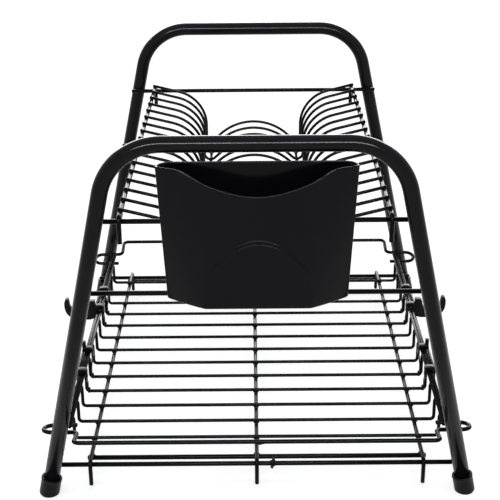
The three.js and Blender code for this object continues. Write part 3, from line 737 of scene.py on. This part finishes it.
for peak, halfSpan, rise in caddySizes["arcs"]:
    y = caddyFrontY + caddySizes["arcRadius"] - caddySizes["arcRise"]
    x = caddyX + caddySizes["arcX"]
    arc = [(x + halfSpan * t, y, peak - rise * t * t) for t in np.linspace(-1, 1, 60)]
    shape.wire(arc, caddySizes["arcRadius"], 10)


def block(low, high, bevel, segments=3):
    # a block with rounded edges
    solid = bmesh.new()
    size = np.array(high, float) - low
    place = Matrix.Translation(Vector((np.array(high, float) + low) / 2)) @ Matrix.Diagonal((*size, 1))
    bmesh.ops.create_cube(solid, size=1, matrix=place)
    return shaped(solid, [("BEVEL", dict(width=bevel, segments=segments, limit_method="NONE"))])


barY, barZ = cadCentre("upper_bar_near")[1], cadCentre("upper_bar_near")[2]
for side in (-1, 1):
    x = caddyX + side * (caddySizes["halfRim"] - caddySizes["hookInset"])
    half, thick = caddySizes["hookWidth"] / 2, caddySizes["hookThickness"]
    under = barZ + barRadius + seatGap
    behind = barY + barRadius + 0.4
    corner = (x + half, behind + thick, under + thick)
    shape.add(*block((x - half, caddyBackY - 1, under), corner, 0.5))
    shape.add(*block((x - half, behind, under - caddySizes["hookDrop"]), corner, 0.5))
shape.piece("cutleryCaddy", "caddy", ["cutlery_caddy"], "caddy_plastic", caddyPlastic, 50)
print("caddy made")


hangerSizes = dict(
    saddleWidth=5.8, saddleTop=4.2, shoulder=2.6, firstOffset=9.7, lastOffset=5.7, wall=1.6, skirt=7,
    innerLow=4, armTop=12, drop=22, armWall=0.9, armWidth=3.2, toeReach=1.3, toeHeight=4.6,
    tabWidth=3.2, tabLength=3.6, tabHeight=5.2, hookWidth=6.5, hookReach=31.2, hookTop=10.5, hookRoot=8,
    hookLow=9.5, rootLength=8, well=0.5, lip=12.8, lipThickness=4.6, bevel=0.4)

hangerInnerX = uprightX - crossRadius - seatGap
hangerOuterX = rimX + traySizes["rimRadius"] + seatGap
hangerTop = rimZ + traySizes["rimRadius"] + hangerSizes["saddleTop"]


def extruded(profile, low, high, along="Y"):
    # a prism with rounded edges, from a profile in X and Z carried along Y or in Y and Z carried along X
    solid = bmesh.new()
    place = (lambda a, b, c: (a, c, b)) if along == "Y" else (lambda a, b, c: (c, a, b))
    ends = [[solid.verts.new(place(a, b, c)) for a, b in profile] for c in (low, high)]
    solid.faces.new(ends[0])
    solid.faces.new(ends[1][::-1])
    for i in range(len(profile)):
        j = (i + 1) % len(profile)
        solid.faces.new((ends[0][i], ends[1][i], ends[1][j], ends[0][j]))
    bmesh.ops.recalc_face_normals(solid, faces=solid.faces)
    settings = dict(width=hangerSizes["bevel"], segments=3, limit_method="ANGLE")
    return shaped(solid, [("BEVEL", settings)])


def saddleProfile():
    # the arch over the rim, with rounded shoulders
    sizes = hangerSizes
    inner, outer = hangerInnerX - sizes["wall"], hangerOuterX + sizes["wall"]
    shoulder = sizes["shoulder"]
    low, under = rimZ - sizes["innerLow"], rimZ + traySizes["rimRadius"] + seatGap
    return np.vstack([
        [(inner, low)],
        bow((inner, hangerTop - shoulder), (inner, hangerTop), (inner + shoulder, hangerTop), 6),
        bow((inner + shoulder, hangerTop), (rimX, hangerTop + 0.3), (outer - shoulder, hangerTop), 4),
        bow((outer - shoulder, hangerTop), (outer, hangerTop), (outer, hangerTop - shoulder), 6),
        [(outer, hangerTop - shoulder), (outer, under), (hangerInnerX + 0.8, under),
         (hangerInnerX, under - 0.8), (hangerInnerX, low)],
    ])


def hookProfile():
    # deep root, well for the handle, upright lip
    sizes = hangerSizes
    wallX, lipX = hangerOuterX + sizes["wall"] / 2, hangerOuterX + sizes["hookReach"]
    innerX, rootX = lipX - sizes["lipThickness"], hangerOuterX + sizes["rootLength"]
    wellX = (rootX + innerX) / 2
    low, well, lip = rimZ - sizes["hookLow"], rimZ - sizes["well"], rimZ + sizes["lip"]
    top, middle, root = rimZ + sizes["hookTop"], rimZ + sizes["hookTop"] / 2, rimZ - sizes["hookRoot"]
    return np.vstack([
        [(wallX, root), (rootX - 1.5, low)],
        bow((wellX, low), (lipX - 0.5, root), (lipX, middle), 10),
        bow((lipX, middle), (lipX + 0.2, lip), (innerX + 1.6, lip), 8),
        bow((innerX + 1.6, lip), (innerX, lip), (innerX - 0.6, middle), 5),
        bow((innerX - 0.6, middle), (innerX - 2, well), (wellX, well), 8),
        bow((wellX, well), (rootX, well), (rootX, middle), 8),
        bow((rootX, middle), (rootX, top), (rootX - 4, top), 8),
        [(rootX - 4, top), (wallX, top)],
    ])


def hanger(end, side):
    node = f"cup_hanger_{end}_{side}"
    sizes, mirror = hangerSizes, side == "left"
    low, high = cadLow(node)[1], cadHigh(node)[1]
    half = sizes["saddleWidth"] / 2
    armX, armTop, armLow = hangerInnerX - sizes["armWall"], rimZ - sizes["armTop"], rimZ - sizes["drop"]
    innerLow = rimZ - sizes["innerLow"]
    shape = Shape()
    first, last = low + half, high - half
    for middle, wireY in ((first, first + sizes["firstOffset"]), (last, last - sizes["lastOffset"])):
        near, far = middle - half, middle + half
        armFar = wireY - crossRadius - seatGap
        armNear = armFar - sizes["armWidth"]
        shape.add(*extruded(saddleProfile(), near, far), mirror=mirror)
        arm = [(near, innerLow), (far, innerLow), (armFar, armTop), (armFar, armLow),
               (armNear, armLow), (armNear, armTop)]
        shape.add(*extruded(arm, armX, hangerInnerX, "X"), mirror=mirror)
        toeX, toeTop = armX - sizes["toeReach"], armLow + sizes["toeHeight"]
        toe = [(toeX, armLow), (hangerInnerX, armLow), (hangerInnerX, toeTop), (toeX, toeTop)]
        shape.add(*extruded(toe, armNear, armFar), mirror=mirror)
    outerX, wallTop = hangerOuterX + sizes["wall"], hangerTop - sizes["shoulder"]
    wall = [(low, rimZ - sizes["skirt"]), (high, rimZ - sizes["skirt"]), (high, wallTop), (low, wallTop)]
    shape.add(*extruded(wall, hangerOuterX, outerX, "X"), mirror=mirror)
    if end == "far":
        shape.add(*extruded(hookProfile(), low, low + sizes["hookWidth"]), mirror=mirror)
    else:
        tabX, tabTop = outerX - sizes["tabWidth"], hangerTop + sizes["tabHeight"]
        tab = [(tabX, wallTop), (outerX, wallTop), (outerX, tabTop), (tabX, tabTop)]
        shape.add(*extruded(tab, high - sizes["tabLength"], high), mirror=mirror)
    name = f"cupHanger{end.capitalize()}{side.capitalize()}"
    shape.piece(name, f"cup_hanger_{end}_{side}_body", [node], "hanger_plastic", hangerPlastic, 40)


for end in ("near", "far"):
    for side in ("left", "right"):
        hanger(end, side)
print("hangers made")


roomLook = dict(
    floor=(0.86, 0.86, 0.86), floorLift=0.62, ambient=0.45, ambientTint=(0.97, 0.98, 1.0))


def backdrop(nodes):
    # 1 where the background is looked at, straight or in a reflection
    rays = [nodes.add("ShaderNodeLightPath", {}, {}, name)
            for name in ("Is Camera Ray", "Is Glossy Ray", "Is Transmission Ray")]
    return rays[0] + rays[1] + rays[2]


world = bpy.data.worlds.new("room")
scene.world = world
nodes = Nodes(world)
white = nodes.add("ShaderNodeBackground", {}, {"Color": (1, 1, 1, 1), "Strength": 1.0})
ambient = nodes.add("ShaderNodeBackground", {}, {
    "Color": (*roomLook["ambientTint"], 1), "Strength": roomLook["ambient"]})
room = nodes.add("ShaderNodeMixShader", {}, {0: backdrop(nodes), 1: ambient, 2: white})
nodes.add("ShaderNodeOutputWorld", {}, {"Surface": room})

floorPaint = bpy.data.materials.new("floorPaint")
nodes = Nodes(floorPaint)
matt = nodes.add("ShaderNodeBsdfDiffuse", {}, {"Color": (*roomLook["floor"], 1)})
lift = nodes.add("ShaderNodeEmission", {}, {"Strength": backdrop(nodes) * roomLook["floorLift"]})
lit = nodes.add("ShaderNodeAddShader", {}, {0: matt, 1: lift})
nodes.add("ShaderNodeOutputMaterial", {}, {"Surface": lit})

floorMesh = bpy.data.meshes.new("floor")
floorMesh.from_pydata([(-14, -14, 0), (14, -14, 0), (14, 14, 0), (-14, 14, 0)], [], [(0, 1, 2, 3)])
floorMesh.materials.append(floorPaint)
floor = bpy.data.objects.new("floor", floorMesh)
floor.location.z = -0.0002
scene.collection.objects.link(floor)


def lamp(name, place, aim, size, power, tint=(1, 1, 1), shine=False):
    light = bpy.data.lights.new(name, "AREA")
    light.shape = "RECTANGLE"
    light.size, light.size_y = size
    light.energy = power
    light.color = tint
    holder = bpy.data.objects.new(name, light)
    holder.location = place
    holder.rotation_euler = (Vector(aim) - Vector(place)).to_track_quat("-Z", "Y").to_euler()
    holder.visible_camera = False
    holder.visible_diffuse, holder.visible_glossy = not shine, shine
    scene.collection.objects.link(holder)


# the strip and the far box only draw highlights, the other two only give the light
lampSizes = (
    dict(name="frontStrip", place=(0.0, -1.15, 0.78), aim=(0, -0.2, 0.25), size=(1.1, 0.12), power=26.0,
         tint=(0.94, 0.93, 1.0), shine=True),
    dict(name="farBox", place=(0.0, 1.9, 0.8), aim=(0, 0, 0.15), size=(2.4, 0.62), power=56.0, shine=True),
    dict(name="frontFill", place=(0.0, -1.6, 1.3), aim=(0, 0, 0.15), size=(1.2, 0.6), power=5.0),
    dict(name="overhead", place=(0.0, 0.0, 1.7), aim=(0, 0, 0), size=(1.4, 1.4), power=6.0),
)
for values in lampSizes:
    lamp(**values)
print("room made")
